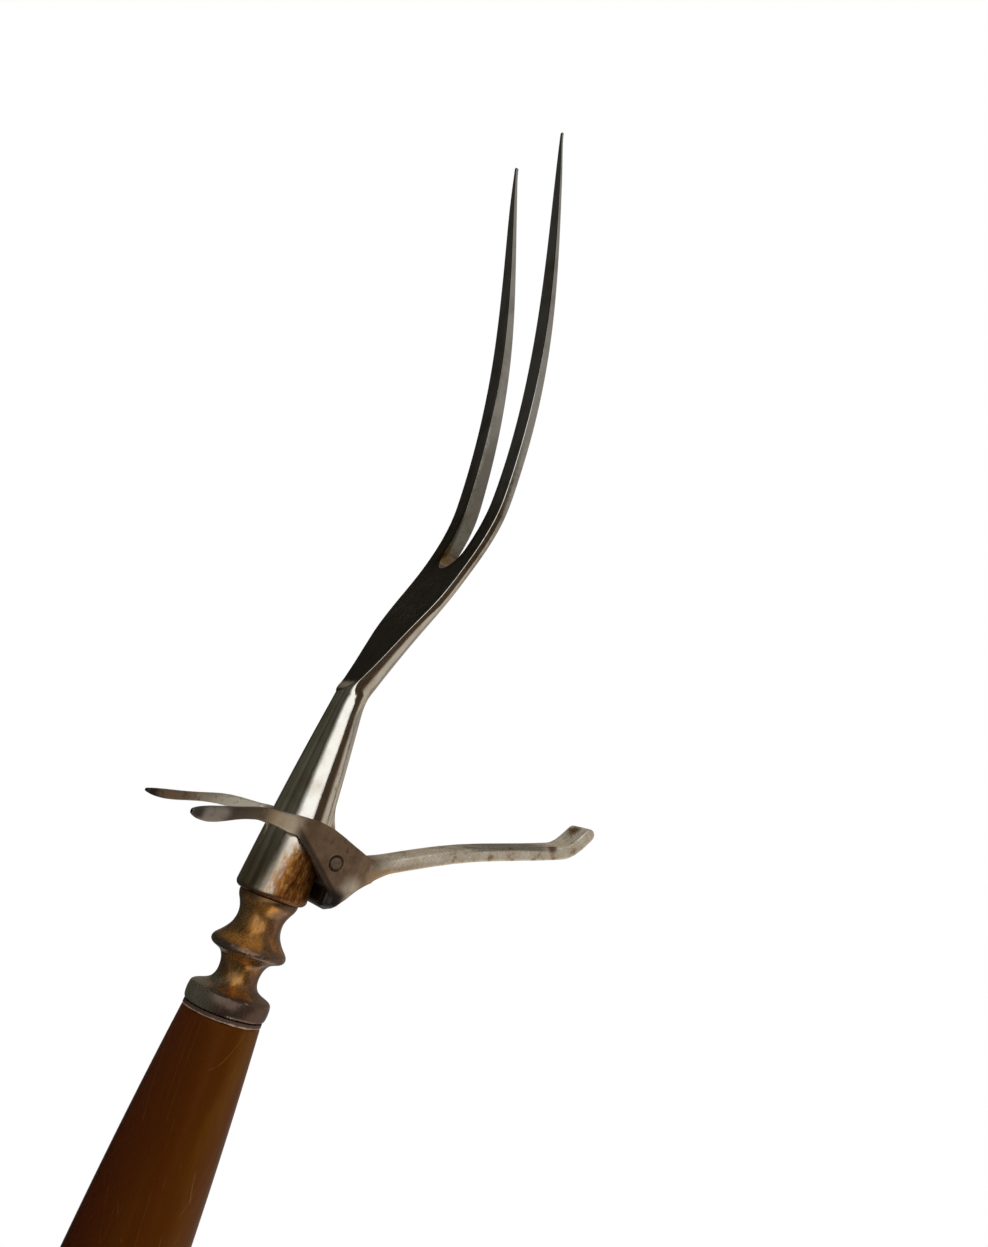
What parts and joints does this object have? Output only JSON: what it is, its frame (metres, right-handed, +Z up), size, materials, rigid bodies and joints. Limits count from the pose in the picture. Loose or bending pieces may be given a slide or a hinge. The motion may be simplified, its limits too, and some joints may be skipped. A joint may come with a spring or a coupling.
{
  "type": "carving fork",
  "caption": "Carving fork with curved tines on a flat neck, a turned metal bolster, a swelling amber handle and a folding forged guard whose horns stand on the table.",
  "frame": {"origin": "middle of the fork's footprint at the height of the table, as the fork lies on its two horns and its handle", "axes": "+X along the fork from the handle towards the tines, +Y across to the fork's left, +Z up from the table, so the guard's leg points up"},
  "size_m": [0.2674, 0.0316, 0.0786],
  "materials": {
    "plated_steel": "polished plating, worn and a little stained",
    "bronze": "turned and polished, with dark tarnish in the coves",
    "amber_resin": "glossy, slightly see-through, with fine scratches",
    "cement": "matt",
    "forged_steel": "plated forging, worn dull",
    "rivet_steel": "peened and filed flush"
  },
  "bodies": {
    "fork": {"fork_head": "plated_steel", "bolster": "bronze", "handle": "amber_resin", "handle_cement": "cement", "guard_rivet": "rivet_steel"},
    "guard": {"guard": "forged_steel"}
  },
  "joints": [
    {"name": "guard_fold", "type": "hinge", "parent": "fork", "child": "guard", "pos_m": [-0.00287, 0, 0.0276], "axis": [0, 1, 0], "range_deg": [0, 60]}
  ]
}
